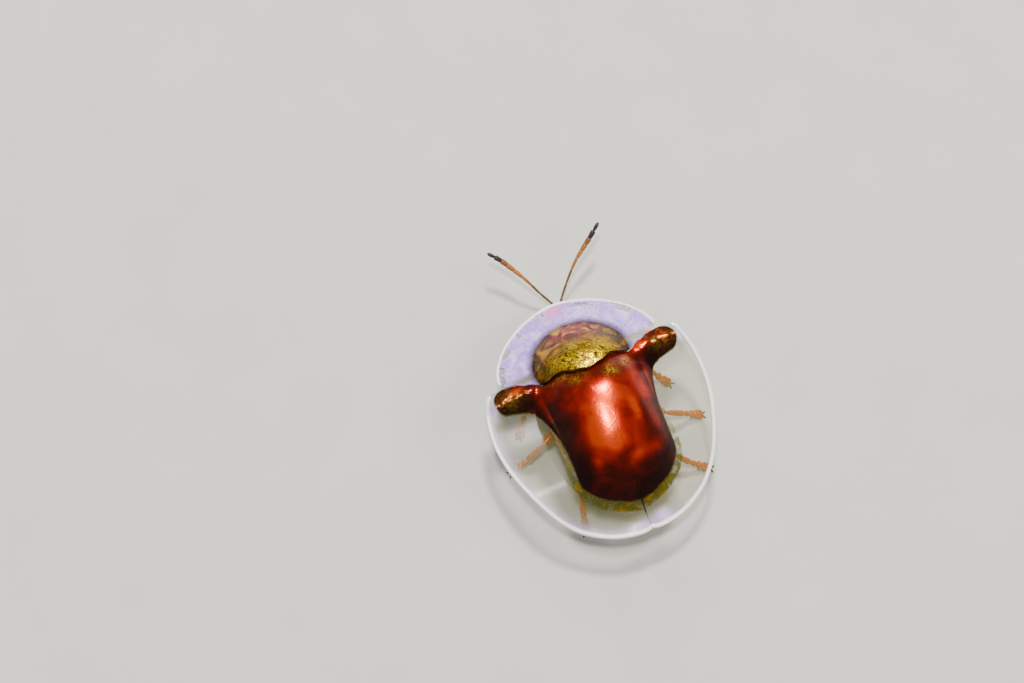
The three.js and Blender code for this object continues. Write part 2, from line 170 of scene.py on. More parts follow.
def collar_foot(side, forward):
    """How far inside the foot of the collar's disc a place lies."""
    return (1 - collar_reach(side, forward)) * COLLAR_DISC_LENGTH


def collar_front(side):
    """Forward place of the collar's free edge."""
    across = min(abs(side) / COLLAR_HALF_WIDTH, 1)
    return COLLAR_WIDE_AT + COLLAR_REACH * (1 - across**COLLAR_SQUARE) ** (1 / COLLAR_SQUARE)


def collar_back(side):
    """Forward place of the collar's rear edge."""
    across = min(abs(side) / COLLAR_HALF_WIDTH, 1)
    return lerp(base_line(side) + BACK_GAP, COLLAR_WIDE_AT, across**BACK_CORNER)


def catmull(points, steps=16):
    """Points along a smooth curve through the given ones, of two or three numbers each."""
    points = [Vector(p) for p in points]
    padded = [points[0] * 2 - points[1], *points, points[-1] * 2 - points[-2]]
    curve = []
    for a, b, c, d in zip(padded, padded[1:], padded[2:], padded[3:]):
        for i in range(steps):
            t = i / steps
            square = (2 * a - 5 * b + 4 * c - d) * t**2
            curve.append(0.5 * (2 * b + (c - a) * t + square + (3 * b - a - 3 * c + d) * t**3))
    return [*curve, points[-1]]


def reading(table, value):
    """The second number of a table of pairs, sorted by the first, at a value of the first."""
    for (low, low_value), (high, high_value) in zip(table, table[1:]):
        if value <= high:
            return lerp(low_value, high_value, (value - low) / max(high - low, 1e-9))
    return table[-1][1]


FLANK_CURVE = catmull(FLANK)
WIDEST = max(range(len(FLANK_CURVE)), key=lambda i: FLANK_CURVE[i].x)
FLANK_FRONT = [tuple(p) for p in FLANK_CURVE[: WIDEST + 1]]
FLANK_REAR = [tuple(p) for p in reversed(FLANK_CURVE[WIDEST:])]
FLANK_WIDTH = min(FLANK_CURVE[WIDEST].x, CAD_BOX[1].x / MM)


def nearest(points):
    """A search tree over points in the plane of the shell."""
    tree = KDTree(len(points))
    for i, point in enumerate(points):
        tree.insert((point[0], point[1], 0), i)
    tree.balance()
    return tree


def edge_distance(tree, side, forward):
    return tree.find((side, forward, 0))[2]


def put(tree, kind, inputs=None, stops=None, **settings):
    """Adds a shader node with its settings and links.

    An input is a value or another node's output; stops are a colour ramp's places and colours.
    """
    node = tree.nodes.new("ShaderNode" + kind)
    for name, value in settings.items():
        setattr(node, name, value)
    for name, value in (inputs or {}).items():
        if isinstance(value, bpy.types.NodeSocket):
            tree.links.new(value, node.inputs[name])
        else:
            node.inputs[name].default_value = value
    for i, (place, colour) in enumerate(stops or ()):
        elements = node.color_ramp.elements
        element = elements[i] if i < 2 else elements.new(place)
        element.position = place
        element.color = (*colour, 1) if hasattr(colour, "__len__") else (colour, colour, colour, 1)
    return node.outputs[OUTPUT_OF.get(kind, 0)] if node.outputs else None


# The output that is used of a node whose first one isn't it
OUTPUT_OF = {"TexCoord": "Object", "Attribute": "Fac", "TexVoronoi": "Distance", "Mix": "Result"}


def new_material(name):
    """An empty material, its node tree, and the object's own coordinates for its patterns."""
    material = bpy.data.materials.new(name)
    material.use_nodes = True
    material.node_tree.nodes.clear()
    return material, material.node_tree, put(material.node_tree, "TexCoord")


def pattern_scale(size_mm):
    """Scale of a texture, in metres, whose cells are size_mm wide."""
    return 1 / (size_mm * MM)


def add(name, data):
    """Puts an object with this data into the scene."""
    thing = bpy.data.objects.new(name, data)
    bpy.context.scene.collection.objects.link(thing)
    return thing


def add_mesh(name, bm, material):
    """Adds an object from a mesh drawn in millimetres."""
    bmesh.ops.transform(bm, matrix=Matrix.Scale(MM, 4), verts=bm.verts)
    mesh = bpy.data.meshes.new(name)
    bm.to_mesh(mesh)
    bm.free()
    mesh.materials.append(material)
    return add(name, mesh)


SHARP_DEGREES = 55


def new_piece(name, bm, material, slot, *nodes):
    """Turns a mesh in millimetres into a finished piece that rides on the body."""
    piece = add_mesh(name, bm, material)
    mesh = piece.data
    mesh.polygons.foreach_set("use_smooth", [True] * len(mesh.polygons))
    mesh.set_sharp_from_angle(angle=math.radians(SHARP_DEGREES))
    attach(piece, "root")
    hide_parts(*nodes)
    return piece


def plate(bm, columns, rows, surface, low):
    """A closed plate: a grid laid on surface(u, v), then extruded down to low(side, forward)."""
    made = bmesh.ops.create_grid(bm, x_segments=columns, y_segments=rows, size=0.5)
    for vert in made["verts"]:
        vert.co = surface(vert.co.x + 0.5, vert.co.y + 0.5)
    faces = list({face for vert in made["verts"] for face in vert.link_faces})
    grown = bmesh.ops.extrude_face_region(bm, geom=faces, use_keep_orig=True)
    for element in grown["geom"]:
        if isinstance(element, bmesh.types.BMVert):
            side, forward = element.co.x, TAIL_Y - element.co.y
            element.co = at(side, forward, low(side, forward))
    bmesh.ops.remove_doubles(bm, verts=bm.verts, dist=1e-4)
    bmesh.ops.recalc_face_normals(bm, faces=bm.faces)


def tube(bm, path, width, around, along, height=None):
    """A closed tube along path(t), with width(t) and height(t) as its half sizes."""
    height = height or width
    made = bmesh.ops.create_grid(bm, x_segments=around, y_segments=along, size=0.5)
    for vert in made["verts"]:
        turn, t = (vert.co.x + 0.5) * 2 * math.pi, vert.co.y + 0.5
        tangent = (path(min(t + 0.02, 1)) - path(max(t - 0.02, 0))).normalized()
        across = tangent.cross(Vector((0, 0, 1)))
        across = across.normalized() if across.length > 0.05 else Vector((1, 0, 0))
        upward = across.cross(tangent)
        vert.co = path(t) + across * math.cos(turn) * width(t) + upward * math.sin(turn) * height(t)
    bmesh.ops.remove_doubles(bm, verts=made["verts"], dist=1e-5)
    bmesh.ops.recalc_face_normals(bm, faces=bm.faces)


def between(start, end):
    return lambda t: start.lerp(end, t)


def round_ends(t, power):
    """1 along most of a tube, falling to 0 at both ends; a high power keeps the ends blunt."""
    return (1 - abs(2 * t - 1) ** power) ** 0.5


def barrel(radius, waist):
    """Half width of a limb joint, widest in the middle and rounded off at both ends."""
    def width(t):
        bulge = waist + (1 - waist) * math.sin(math.pi * t) ** 0.7
        return radius * round_ends(t, 6) * bulge

    return width


def along_curve(curve):
    """A path that steps through a curve's points."""
    return lambda t: curve[round(t * (len(curve) - 1))]


def blob(bm, centre, sizes, across, down):
    """A closed rounded lump; sizes are its half sizes to the side, forward and up."""
    made = bmesh.ops.create_uvsphere(bm, u_segments=across, v_segments=down, radius=1)
    bmesh.ops.scale(bm, vec=Vector(sizes), verts=made["verts"])
    bmesh.ops.translate(bm, vec=centre, verts=made["verts"])
    return made["verts"]


def mark(piece, name, strength):
    """Stores strength(side, forward) for each vertex of a finished piece, as a material's attribute."""
    places = [(vert.co.x / MM, TAIL_Y - vert.co.y / MM) for vert in piece.data.vertices]
    attribute = piece.data.attributes.new(name, "FLOAT", "POINT")
    attribute.data.foreach_set("value", [strength(*place) for place in places])


# Dark pattern on the wing cases, as half of it: pairs of forward and half width, and of side and forward
DISC_SIDES = (
    (-1.5, 1.6), (-1.1, 1.74), (-0.5, 1.73), (0.0, 1.74), (0.4, 1.76), (0.8, 1.8), (1.2, 1.88), (1.5, 1.98),
    (1.8, 2.15), (1.92, 2.4), (3.1, 2.6),
)
ARM_REAR = ((1.7, 0.4), (1.88, 1.2), (1.98, 1.5), (2.15, 1.8), (2.4, 1.92), (2.85, 2.03))
KNOB_AWAY, KNOB_FORWARD, KNOB_RADIUS, KNOB_LENGTHEN = 2.85, 2.5, 0.4, 0.85
DISC_CORNER = 0.5
TAIL_HALF_WIDTH, TAIL_TIP_HALF_WIDTH, TAIL_FROM = 0.07, 0.035, -1.9
DISC_REAR_ARC = ((0, -2.16), (0.4, -2.1), (0.96, -1.86), (1.4, -1.6), (1.72, -1.35), (1.9, -1.15))
# Outer edge of the gold crescent round the disc's rear
CRESCENT = (
    (-2.42, 0.0), (-2.36, 0.35), (-2.17, 0.87), (-1.98, 1.24), (-1.79, 1.5), (-1.58, 1.71), (-1.35, 1.87),
    (-0.95, 1.99), (-0.5, 2.02), (0.3, 1.9), (0.9, 1.7),
)

# Painted highlights, spots of light painted into the cuticle's colour: side, forward, half width, half length
# and strength
PAINTED_HIGHLIGHTS = (
    (0.22, 0.35, 0.42, 0.6, 0.75), (0.24, -0.3, 0.3, 0.28, 0.4), (-0.83, 0.45, 0.16, 0.42, 0.6),
    (1.0, -0.75, 0.2, 0.32, 0.4), (-0.35, -0.95, 0.3, 0.2, 0.4), (-0.95, -0.85, 0.28, 0.2, 0.35),
    (0.75, 0.3, 0.25, 0.4, 0.35), (1.2, 1.3, 0.3, 0.25, 0.25), (2.4, 2.66, 0.24, 0.12, 1.0),
    (-1.95, 2.55, 0.26, 0.12, 1.0), (2.9, 2.6, 0.2, 0.18, 0.35),
    (-2.85, 2.62, 0.22, 0.18, 0.45), (-0.2, 1.2, 0.5, 0.4, 0.3),
    (-1.4, 1.1, 0.25, 0.8, 0.4), (-1.35, 0.0, 0.25, 0.6, 0.3), (0.75, -0.1, 0.3, 0.4, 0.25),
)
# Painted gold glints near the base of the wing cases: side, forward, half width, half length and strength
PAINTED_GLINT_SPOTS = (
    (-0.61, 1.92, 0.22, 0.2, 1.0), (-1.23, 2.14, 0.16, 0.14, 0.8), (0.82, 2.42, 0.4, 0.12, 0.7),
    (0.5, 2.1, 0.3, 0.16, 0.5), (2.7, 2.5, 0.45, 0.3, 0.26), (-2.7, 2.5, 0.45, 0.3, 0.26),
)
# Painted milky reflections on the clear margin: beyond the arms, and beside the notch at the tail
PAINTED_REFLECTION_SPOTS = (
    (3.34, 2.35, 0.16, 0.34, 0.9), (-3.3, 2.4, 0.16, 0.3, 0.9), (0.4, -2.82, 0.36, 0.14, 0.8),
    (-0.5, -2.74, 0.32, 0.2, 0.85),
)


def spots(table, side, forward):
    """Sum of soft oval spots at a place."""
    total = 0
    for middle, along, half_width, half_length, strength in table:
        away = ((side - middle) / half_width) ** 2 + ((forward - along) / half_length) ** 2
        total += strength * math.exp(-away)
    return total


def disc_depth(side, forward):
    """How far inside the dark disc or its arms a place lies, in millimetres; below 0 outside."""
    away = abs(side)
    inside_flank = reading(DISC_SIDES, forward) - away
    inside_rear = forward - reading(DISC_REAR_ARC, away)
    body = soft_least(inside_flank, inside_rear, DISC_CORNER)
    arm = forward - reading(ARM_REAR, away)
    if away > KNOB_AWAY:
        arm = KNOB_RADIUS - math.hypot(away - KNOB_AWAY, KNOB_LENGTHEN * (forward - KNOB_FORWARD))
    return max(body, arm if away > ARM_REAR[0][0] else body)


def soft_least(a, b, blend):
    """The lesser of two depths, rounded off where they are alike."""
    mix = max(blend - abs(a - b), 0) / blend
    return min(a, b) - mix * mix * blend / 4


def tail_depth(side, forward):
    """How far inside the thin dark line from the disc to the tail notch a place lies."""
    half_width = lerp(TAIL_HALF_WIDTH, TAIL_TIP_HALF_WIDTH, smooth(2.1, 2.8, -forward))
    return min(half_width - abs(side), TAIL_FROM - forward)


def crescent_depth(side, forward):
    """How far inside the crescent's outer edge a place lies."""
    return reading(CRESCENT, forward) - abs(side) if forward > CRESCENT[0][0] else -1


def disc_warmth_and_painted_light(side, forward):
    """How bright the disc's red is, from 0 at its dark edge to 1, with painted shade towards the rear, darker
    towards the front, and painted highlights in spots.
    """
    depth = disc_depth(side, forward)
    inside = smooth(0.05, 1.15, depth)
    # Painted shade: the red darkens towards the rear
    rear = 1 - 0.6 * smooth(0.5, 1.7, -forward)
    front = 1 - 0.35 * smooth(1.3, 2.4, forward)
    # Painted highlights are added as bright spots on top
    return 0.62 * inside * rear * front + spots(PAINTED_HIGHLIGHTS, side, forward) * smooth(0, 0.3, depth)


def rim_painted_reflection(side, forward, rim):
    """Painted milky reflection along the free edge, widest on the beetle's left and rear."""
    facing = (0.75 * side - 0.65 * forward) / SHIELD_HALF_WIDTH
    width = lerp(0.06, 0.3, smooth(-0.5, 0.9, facing))
    return 0.85 * math.exp(-((rim / width) ** 1.6)) + spots(PAINTED_REFLECTION_SPOTS, side, forward)


class BeetleSizes(bpy.types.PropertyGroup):
    """Sizes that a user would change."""

    plate: bpy.props.FloatProperty(
        name="Shell thickness", description="Thickness of the shell plates",
        default=0.12 * MM, unit="LENGTH")
    rim: bpy.props.FloatProperty(
        name="Rim bead", description="Width of the raised bead along the wing cases' free edge",
        default=0.14 * MM, unit="LENGTH")
    feeler: bpy.props.FloatProperty(
        name="Feeler radius", description="Half thickness of a feeler's thin joints",
        default=0.045 * MM, unit="LENGTH")
    club: bpy.props.FloatProperty(
        name="Club radius", description="Half thickness of a feeler's club",
        default=0.095 * MM, unit="LENGTH")
    eye: bpy.props.FloatProperty(
        name="Eye radius", description="Half width of an eye", default=0.2 * MM, unit="LENGTH")


class BeetleColours(bpy.types.PropertyGroup):
    """Colours that a user would change."""

    disc: bpy.props.FloatVectorProperty(
        name="Disc", description="Dark red of the wing cases' disc",
        default=linear(0x861604), subtype="COLOR")
    # The top colour of the disc's painted highlights, a painted glow
    painted_glow: bpy.props.FloatVectorProperty(
        name="Glow", description="Orange that shines through the disc",
        default=linear(0xFF5206), subtype="COLOR")
    gold: bpy.props.FloatVectorProperty(
        name="Gold", description="Gold of the collar shield's disc",
        default=linear(0xBC8406), subtype="COLOR")
    amber: bpy.props.FloatVectorProperty(
        name="Amber", description="Amber of the legs", default=linear(0xC85802), subtype="COLOR")


def wing_case_material():
    """Elytral cuticle, hardened and polished: a dark red disc with painted highlights and painted gold
    glints, a gold crescent, and a glassy margin with a painted white highlight and painted milky reflections.
    """
    colours = bpy.context.scene.beetle_colours
    material, tree, place = new_material("Elytral cuticle, polished")
    warmth_and_painted_light, disc, painted_glint, olive, painted_reflection, rim = (
        put(tree, "Attribute", attribute_name=name)
        for name in ("warmth_and_painted_light", "disc", "painted_glint", "olive", "painted_reflection", "rim")
    )
    # Slow drift of about 0.9 mm in the red, foil-like creases of 0.16 mm in the painted gold glints, and
    # folds of 0.35 mm
    drift = put(tree, "TexNoise",
                {"Vector": place, "Scale": pattern_scale(0.9), "Detail": 3, "Distortion": 0.8})
    crease = put(tree, "TexNoise",
                 {"Vector": place, "Scale": pattern_scale(0.16), "Detail": 2, "Distortion": 1.5})
    shift = put(tree, "Math", {0: drift, 1: 0.5}, operation="SUBTRACT")
    # The disc's painted highlights and painted shade steer the red
    tone_and_painted_light = put(tree, "Math", {0: shift, 1: 0.9, 2: warmth_and_painted_light}, operation="MULTIPLY_ADD")
    red = put(tree, "ValToRGB", {"Fac": tone_and_painted_light}, stops=[
        (0.0, linear(0x2A0902)), (0.25, linear(0x521003)), (0.48, [*colours.disc]),
        (0.74, linear(0xCC2602)), (1.0, [*colours.painted_glow])])
    # Painted gold glints on the creases, mixed into the red at the glint spots
    foil = put(tree, "ValToRGB", {"Fac": crease}, stops=[
        (0.38, linear(0x7A3408)), (0.5, linear(0xC88414)), (0.64, linear(0xFFD040))])
    red_with_painted_glints = put(tree, "Mix", {"Factor": painted_glint, "A": red, "B": foil}, data_type="RGBA")
    folds = put(tree, "TexNoise",
                {"Vector": place, "Scale": pattern_scale(0.35), "Detail": 3, "Distortion": 0.6})
    moss = put(tree, "ValToRGB", {"Fac": folds}, stops=[
        (0.36, linear(0x2E3008)), (0.52, linear(0x6E6810)), (0.68, linear(0xB08C18))])
    inner = put(tree, "Mix", {"Factor": disc, "A": moss, "B": red_with_painted_glints}, data_type="RGBA")
    # Painted highlight: a white line along the rim bead. Together with the painted milky reflections it also
    # makes the margin opaque there
    bead = put(tree, "ValToRGB", {"Fac": rim}, stops=[(0.02, 1.0), (0.1, 0.95), (0.13, 0.0)])
    painted_white = put(tree, "Math", {0: bead, 1: painted_reflection}, operation="MAXIMUM", use_clamp=True)
    painted_cream = put(tree, "ValToRGB", {"Fac": drift}, stops=[(0.45, linear(0xD2B4F0)), (0.68, linear(0xFAF2FF))])
    painted_highlight_colour = put(tree, "Mix", {"Factor": bead, "A": painted_cream, "B": opaque(0xFFFFFF)}, data_type="RGBA")
    clear = put(tree, "Mix", {"Factor": painted_white, "A": opaque(0x7C8640), "B": painted_highlight_colour}, data_type="RGBA")
    # The crescent thins out where the folds are dark
    patchy = put(tree, "ValToRGB", {"Fac": folds}, stops=[(0.34, 0.25), (0.56, 1.0)])
    veil = put(tree, "Math", {0: olive, 1: patchy}, operation="MULTIPLY")
    body = put(tree, "Math", {0: veil, 1: disc}, operation="MAXIMUM", use_clamp=True)
    colour = put(tree, "Mix", {"Factor": body, "A": clear, "B": inner}, data_type="RGBA")
    painted_reflection_cover = put(tree, "MapRange", {"Value": painted_white, "To Min": 0.15, "To Max": 0.92})
    cover = put(tree, "Math", {0: body, 1: painted_reflection_cover}, operation="MAXIMUM", use_clamp=True)
    bump = put(tree, "Bump", {"Height": crease, "Strength": 0.2, "Distance": 0.03 * MM})
    metal = put(tree, "Math", {0: body, 1: 0.85}, operation="MULTIPLY")
    skin = put(tree, "BsdfPrincipled", {
        "Base Color": colour, "Metallic": metal, "Roughness": 0.29, "IOR": 1.56, "Coat Weight": 0.2,
        "Coat Roughness": 0.12, "Alpha": cover, "Normal": bump})
    put(tree, "OutputMaterial", {"Surface": skin})
    return material


def collar_material():
    """Pronotal cuticle: a creased gold-foil disc with painted glints, in a margin with a painted lavender
    reflection like mother-of-pearl and a painted white highlight along the edge.
    """
    colours = bpy.context.scene.beetle_colours
    material, tree, place = new_material("Pronotal cuticle, painted_pearly")
    disc, rim, head, painted_glint, clear, blush, dusk = (
        put(tree, "Attribute", attribute_name=name)
        for name in ("disc", "rim", "head", "painted_glint", "clear", "blush", "dusk")
    )
    # Creased foil, folds of about 0.2 mm in patches of about 0.5 mm
    crease = put(tree, "TexNoise",
                 {"Vector": place, "Scale": pattern_scale(0.2), "Detail": 4, "Distortion": 2.5})
    patches = put(tree, "TexNoise",
                  {"Vector": place, "Scale": pattern_scale(0.5), "Detail": 3, "Distortion": 1.0})
    olive = put(tree, "ValToRGB", {"Fac": patches}, stops=[
        (0.38, linear(0x4A3002)), (0.5, linear(0x845A04)), (0.64, [*colours.gold])])
    # Painted glints: bright yellow on the creases near the collar's highlight
    painted_highlight_colour = put(tree, "ValToRGB", {"Fac": crease}, stops=[
        (0.4, linear(0x7A5602)), (0.48, linear(0xF0B800)), (0.56, linear(0xFFE818))])
    foil = put(tree, "Mix", {"Factor": painted_glint, "A": olive, "B": painted_highlight_colour}, data_type="RGBA")
    brown = put(tree, "ValToRGB", {"Fac": patches}, stops=[
        (0.42, linear(0x6A1A02)), (0.55, linear(0xA84A04)), (0.66, linear(0xFFC018))])
    faced = put(tree, "Mix", {"Factor": head, "A": foil, "B": brown}, data_type="RGBA")
    # Painted highlight: a white line along the free edge
    bead = put(tree, "ValToRGB", {"Fac": rim}, stops=[(0.0, 1.0), (0.06, 1.0), (0.1, 0.0)])
    # Painted lavender reflection of the margin, like mother-of-pearl, in grains of about 0.07 mm
    grain = put(tree, "TexNoise", {"Vector": place, "Scale": pattern_scale(0.07), "Detail": 2})
    painted_sparkle = put(tree, "Mix", {"Factor": 0.45, "A": patches, "B": grain}, data_type="FLOAT")
    painted_sheen = put(tree, "ValToRGB", {"Fac": painted_sparkle}, stops=[
        (0.38, linear(0xA686E6)), (0.5, linear(0xC0A4F4)), (0.62, linear(0xE2D0FF))])
    # Clear windows lie just inside the front bead, from 0.09 to 0.22 mm behind the edge
    near = put(tree, "ValToRGB", {"Fac": rim}, stops=[(0.0, 0.0), (0.09, 1.0), (0.22, 1.0), (0.3, 0.0)])
    gaps = put(tree, "ValToRGB", {"Fac": patches}, stops=[(0.5, 0.0), (0.53, 1.0)])
    window = put(tree, "Math", {0: near, 1: gaps}, operation="MULTIPLY")
    glass = put(tree, "Math", {0: window, 1: clear}, operation="MAXIMUM", use_clamp=True)
    painted_pearl_margin = put(tree, "Mix", {"Factor": glass, "A": painted_sheen, "B": opaque(0x8C8A68)}, data_type="RGBA")
    rosy = put(tree, "Mix", {"Factor": blush, "A": painted_pearl_margin, "B": opaque(0xF090BC)}, data_type="RGBA")
    edged = put(tree, "Mix", {"Factor": bead, "A": rosy, "B": opaque(0xFFF6FF)}, data_type="RGBA")
    whole = put(tree, "Mix", {"Factor": disc, "A": edged, "B": faced}, data_type="RGBA")
    # A dark line follows the disc's foot
    foot = put(tree, "Math", {0: dusk, 1: 0.75}, operation="MULTIPLY")
    colour = put(tree, "Mix", {"Factor": foot, "A": whole, "B": opaque(0x241A08)}, data_type="RGBA")
    thin = put(tree, "MapRange", {"Value": glass, "To Min": 0.86, "To Max": 0.3})
    solid = put(tree, "Math", {0: bead, 1: thin}, operation="MAXIMUM")
    cover = put(tree, "Math", {0: disc, 1: solid}, operation="MAXIMUM", use_clamp=True)
    metal = put(tree, "Math", {0: disc, 1: 0.9}, operation="MULTIPLY")
    bump = put(tree, "Bump", {"Height": crease, "Strength": 0.6, "Distance": 0.04 * MM})
    skin = put(tree, "BsdfPrincipled", {
        "Base Color": colour, "Metallic": metal, "Roughness": 0.25, "IOR": 1.56, "Coat Weight": 0.15,
        "Coat Roughness": 0.16, "Alpha": cover, "Normal": bump})
    put(tree, "OutputMaterial", {"Surface": skin})
    return material


def cuticle_material(name, light, dark, grain_mm, roughness):
    """Tanned cuticle: two tones that drift over the surface, and a fine leathery grain."""
    material, tree, place = new_material(name)
    drift = put(tree, "TexNoise", {"Vector": place, "Scale": pattern_scale(2 * grain_mm), "Detail": 4})
    cells = put(tree, "TexVoronoi", {"Vector": place, "Scale": pattern_scale(grain_mm)})
    colour = put(tree, "ValToRGB", {"Fac": drift}, stops=[(0.35, dark), (0.65, light)])
    bump = put(tree, "Bump", {"Height": cells, "Strength": 0.4, "Distance": 0.12 * grain_mm * MM})
    skin = put(tree, "BsdfPrincipled", {
        "Base Color": colour, "Roughness": roughness, "IOR": 1.56, "Coat Weight": 0.2, "Coat Roughness": 0.3,
        "Subsurface Weight": 0.15, "Subsurface Scale": 0.2 * MM, "Normal": bump})
    put(tree, "OutputMaterial", {"Surface": skin})
    return material


def feeler_material():
    """Feeler cuticle: olive-brown stalk, amber club with short down, its last joints black."""
    material, tree, place = new_material("Antennal cuticle, downy")
    joint = put(tree, "Attribute", attribute_name="joint")
    # Down about 0.03 mm apart
    down = put(tree, "TexNoise", {"Vector": place, "Scale": pattern_scale(0.03), "Detail": 2})
    tone = put(tree, "ValToRGB", {"Fac": joint}, stops=[
        (0.0, linear(0x4A4214)), (0.42, linear(0x5A4612)), (0.52, linear(0xA06410)), (0.76, linear(0x8A4C0A)),
        (0.8, linear(0x0C0908))])
    bump = put(tree, "Bump", {"Height": down, "Strength": 0.5, "Distance": 0.01 * MM})
    skin = put(tree, "BsdfPrincipled", {
        "Base Color": tone, "Roughness": 0.5, "IOR": 1.56, "Sheen Weight": 0.2, "Normal": bump})
    put(tree, "OutputMaterial", {"Surface": skin})
    return material


def eye_material():
    """Compound eye: black facets of about 0.03 mm under a clear cornea."""
    material, tree, place = new_material("Compound eye, faceted")
    facets = put(tree, "TexVoronoi", {"Vector": place, "Scale": pattern_scale(0.03), "Randomness": 0.15})
    colour = put(tree, "ValToRGB", {"Fac": facets}, stops=[(0.0, linear(0x3A2418)), (0.8, linear(0x0A0604))])
    bump = put(tree, "Bump", {"Height": facets, "Strength": 0.7, "Distance": 0.01 * MM}, invert=True)
    skin = put(tree, "BsdfPrincipled", {
        "Base Color": colour, "Roughness": 0.3, "IOR": 1.5, "Coat Weight": 1.0, "Coat Roughness": 0.05,
        "Normal": bump})
    put(tree, "OutputMaterial", {"Surface": skin})
    return material


def stage_material():
    """Matt photographic card, very slightly mottled."""
    material, tree, place = new_material("Backdrop card, matt")
    # Flecks about 2.5 mm apart
    fleck = put(tree, "TexNoise", {"Vector": place, "Scale": pattern_scale(2.5), "Detail": 2})
    tone = put(tree, "ValToRGB", {"Fac": fleck}, stops=[(0.3, linear(0xC6C8C2)), (0.7, linear(0xCACCC6))])
    card = put(tree, "BsdfPrincipled", {"Base Color": tone, "Roughness": 0.9})
    put(tree, "OutputMaterial", {"Surface": card})
    return material


# Wing cases: half the seam between them, the bead's swell, depth and flat share, waves, and the arms' lumps
SEAM = 0.004
BEAD_SWELL, BEAD_DEPTH, BEAD_FLAT = 0.035, 0.05, 0.3
WAVE, WAVE_PITCH, WAVE_SINK = 0.02, 1.7, 0.25
LUMP, LUMP_PITCH = 0.05, 3.6


class BEETLE_OT_wing_cases(bpy.types.Operator):
    """The two wing cases, with their raised disc, arms, clear margin and rim bead"""

    bl_idname = "beetle.wing_cases"
    bl_label = "Wing cases"

    def execute(self, context):
        sizes = context.scene.beetle_sizes
        bead = sizes.rim / MM
        edge = nearest(FLANK_CURVE)
        material = wing_case_material()

        def rim(side, forward):
            return edge_distance(edge, abs(side), forward)

        def on_bead(side, forward):
            return 1 - smooth(BEAD_FLAT * bead, bead, rim(side, forward))

        def top(side, forward):
            depth = disc_depth(side, forward)
            swell = BEAD_SWELL * on_bead(side, forward)
            wave = WAVE * (noise.noise(Vector((side, forward, 0.3)) * WAVE_PITCH) - WAVE_SINK)
            lump = LUMP * noise.noise(Vector((side, forward, 2.2)) * LUMP_PITCH) * smooth(1.8, 2.3, abs(side))
            relief = wave * smooth(0, 0.4, depth) + lump * smooth(0, 0.3, depth)
            return wing_case_top(side, forward) + swell + relief

        def low(side, forward):
            thick = sizes.plate / MM + BEAD_DEPTH * on_bead(side, forward)
            return top(side, forward) - thick

        for name, sign in (("elytron_left", 1), ("elytron_right", -1)):
            bm = bmesh.new()

            def surface(u, v, sign=sign):
                away = SEAM + (FLANK_WIDTH - SEAM) * math.sin(u * math.pi / 2)
                front = base_line(away) if away <= FLANK[0][0] else reading(FLANK_FRONT, away)
                eased = lerp(v, 0.5 - 0.5 * math.cos(math.pi * v), 0.6)
                forward = lerp(reading(FLANK_REAR, away), front, eased)
                return at(sign * away, forward, top(away, forward))

            plate(bm, 150, 130, surface, low)
            piece = new_piece(name.replace("elytron", "wing_case"), bm, material, "wing_case", name)
            mark(piece, "rim", rim)
            # Painted milky reflections along the free edge
            mark(piece, "painted_reflection", lambda *place: rim_painted_reflection(*place, rim(*place)))
            # Painted highlights and painted shade of the disc's red
            mark(piece, "warmth_and_painted_light", disc_warmth_and_painted_light)
            mark(piece, "disc", lambda *place: smooth(0, 0.06, max(disc_depth(*place), tail_depth(*place))))
            # Painted gold glints
            mark(piece, "painted_glint", lambda *place: min(spots(PAINTED_GLINT_SPOTS, *place), 1))
            mark(piece, "olive", self.olive)
        return {"FINISHED"}

    @staticmethod
    def olive(side, forward):
        """Strength of the gold crescent, which fades towards the front."""
        fade = lerp(1.0, 0.3, smooth(-1.6, 0.6, forward)) * (1 - smooth(0.2, 0.9, forward))
        return fade * smooth(0, 0.14, crescent_depth(side, forward))


# Places on the collar shield: painted glints on the bright foil, the clear rear corners, and the blush
# between the feelers
COLLAR_SPOTS = {
    "painted_glint": ((-0.1, 2.6, 0.65, 0.3, 1.0), (0.66, 2.85, 0.4, 0.25, 0.8), (-0.7, 2.9, 0.35, 0.3, 0.8),
             (0.15, 3.3, 0.3, 0.3, 0.5)),
    "clear": ((1.95, 2.95, 0.55, 0.16, 1.0), (-1.95, 2.95, 0.55, 0.16, 1.0)),
    "blush": ((0.05, 5.0, 0.32, 0.22, 0.9),),
}

# Collar shield: its crinkles, its bead, and the share of its thickness at the edge; then the scutellum
CRINKLE, CRINKLE_PITCH = 0.03, 2.6
COLLAR_BEAD, COLLAR_EDGE_SHARE = 0.03, 0.6
SCUTELLUM_RADIUS, SCUTELLUM_THICKNESS, SCUTELLUM_PLACE = 0.26, 0.1, (0, 2.12, 2.95)


